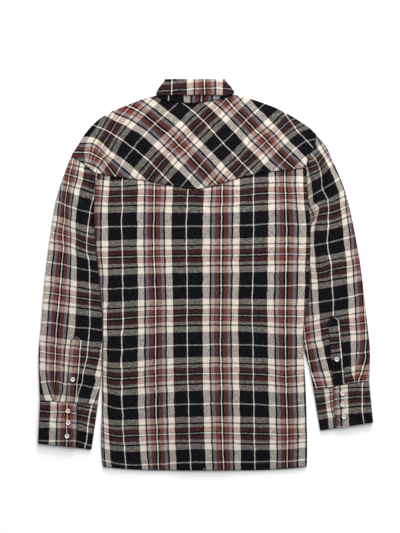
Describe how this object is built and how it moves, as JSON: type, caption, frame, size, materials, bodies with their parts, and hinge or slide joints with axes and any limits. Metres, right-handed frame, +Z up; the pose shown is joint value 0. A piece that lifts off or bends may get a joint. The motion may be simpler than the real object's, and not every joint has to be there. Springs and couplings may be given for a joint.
{
  "type": "plaid flannel shirt",
  "caption": "Western flannel shirt in a dark plaid, laid flat with its back up: pointed bias yoke, turned-down collar, straight hem with side vents and tall buttoned cuffs.",
  "frame": {"origin": "on the surface it lies on, at the middle of its box: halfway between the cuffs' outer edges and halfway between the hem and the collar's fold", "axes": "+Y from the hem towards the collar, +X towards the wearer's right sleeve as seen from above the back, +Z up, out of the back"},
  "size_m": [0.7102, 0.8297, 0.0134],
  "materials": {
    "plaid_flannel": "brushed cotton flannel, twill weave, yarn-dyed plaid of navy black, cream, rust and lavender grey",
    "pearl_button": "pearly white, polished"
  },
  "bodies": {
    "root": {"back_panel": "plaid_flannel", "back_yoke": "plaid_flannel", "front_left": "plaid_flannel", "front_right": "plaid_flannel", "front_placket": "plaid_flannel", "collar_stand": "plaid_flannel", "collar_leaf": "plaid_flannel", "sleeve_left": "plaid_flannel", "sleeve_right": "plaid_flannel", "cuff_left": "plaid_flannel", "cuff_right": "plaid_flannel", "sleeve_placket_left": "plaid_flannel", "sleeve_placket_right": "plaid_flannel", "cuff_button_left_1": "pearl_button", "cuff_button_left_2": "pearl_button", "cuff_button_left_3": "pearl_button", "cuff_button_right_1": "pearl_button", "cuff_button_right_2": "pearl_button", "cuff_button_right_3": "pearl_button", "placket_button_left": "pearl_button", "placket_button_right": "pearl_button", "front_button_1": "pearl_button", "front_button_2": "pearl_button", "front_button_3": "pearl_button", "front_button_4": "pearl_button", "front_button_5": "pearl_button", "front_button_6": "pearl_button", "front_button_7": "pearl_button"}
  },
  "joints": []
}
